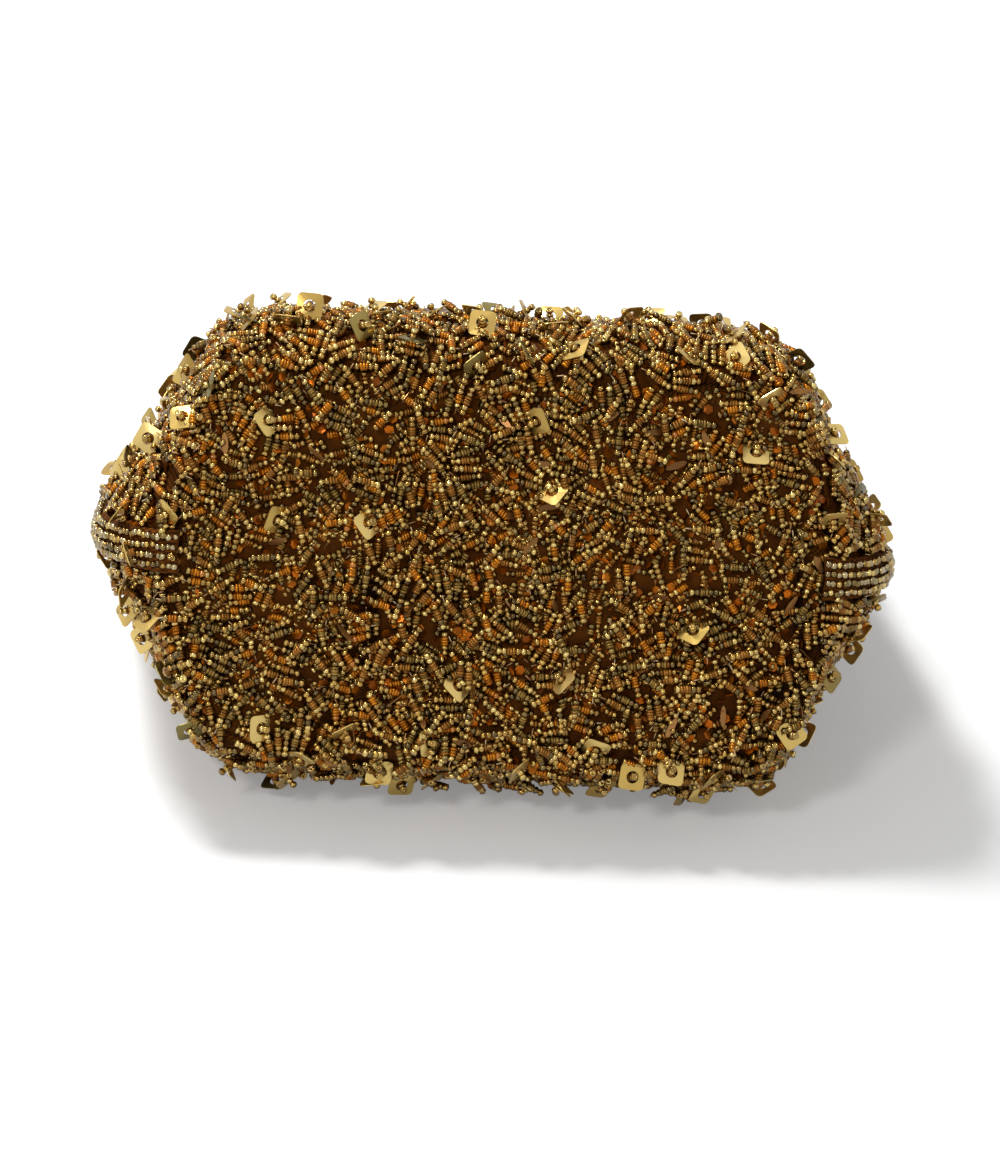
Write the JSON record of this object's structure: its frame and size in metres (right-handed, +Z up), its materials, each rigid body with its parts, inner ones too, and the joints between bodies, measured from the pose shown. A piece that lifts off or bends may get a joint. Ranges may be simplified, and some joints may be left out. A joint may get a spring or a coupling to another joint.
{
  "type": "beaded shoulder bag",
  "caption": "Small soft shoulder bag with a boxed bottom, covered in bead strings and square sequins, with a short strap on two rings.",
  "frame": {"origin": "centre of the flat of the back panel, on the ground that the bag lies on", "axes": "+X along the bag's width, +Y from the base towards the mouth and the strap, +Z up from the back panel to the front panel"},
  "size_m": [0.2076, 0.2643, 0.122],
  "materials": {
    "beaded_cloth": "glossy beads on cloth",
    "grey_gold_beads": "opaque lustred beads",
    "grey_board": "matte",
    "lining_satin": "satin",
    "plated_snap": "polished",
    "strap_cloth": "satin",
    "ring_metal": "polished"
  },
  "bodies": {
    "bag": {"base_panel": "beaded_cloth", "front_panel": "beaded_cloth", "back_panel": "beaded_cloth", "side_seam_left": "grey_gold_beads", "side_seam_right": "grey_gold_beads", "base_board": "grey_board", "lining": "lining_satin", "snap_socket": "plated_snap", "snap_stud": "plated_snap", "tab_left": "strap_cloth", "tab_right": "strap_cloth"},
    "rings": {"ring_left": "ring_metal", "ring_right": "ring_metal"},
    "strap": {"strap": "strap_cloth"}
  },
  "joints": [
    {"name": "ring_swing", "type": "hinge", "parent": "bag", "child": "rings", "pos_m": [0, 0.0683, 0.01029], "axis": [1, 0, 0], "range_deg": [-80, 105]},
    {"name": "strap_swing", "type": "hinge", "parent": "rings", "child": "strap", "pos_m": [0, 0.07878, 0.0026], "axis": [1, 0, 0], "range_deg": [-80, 10]}
  ]
}
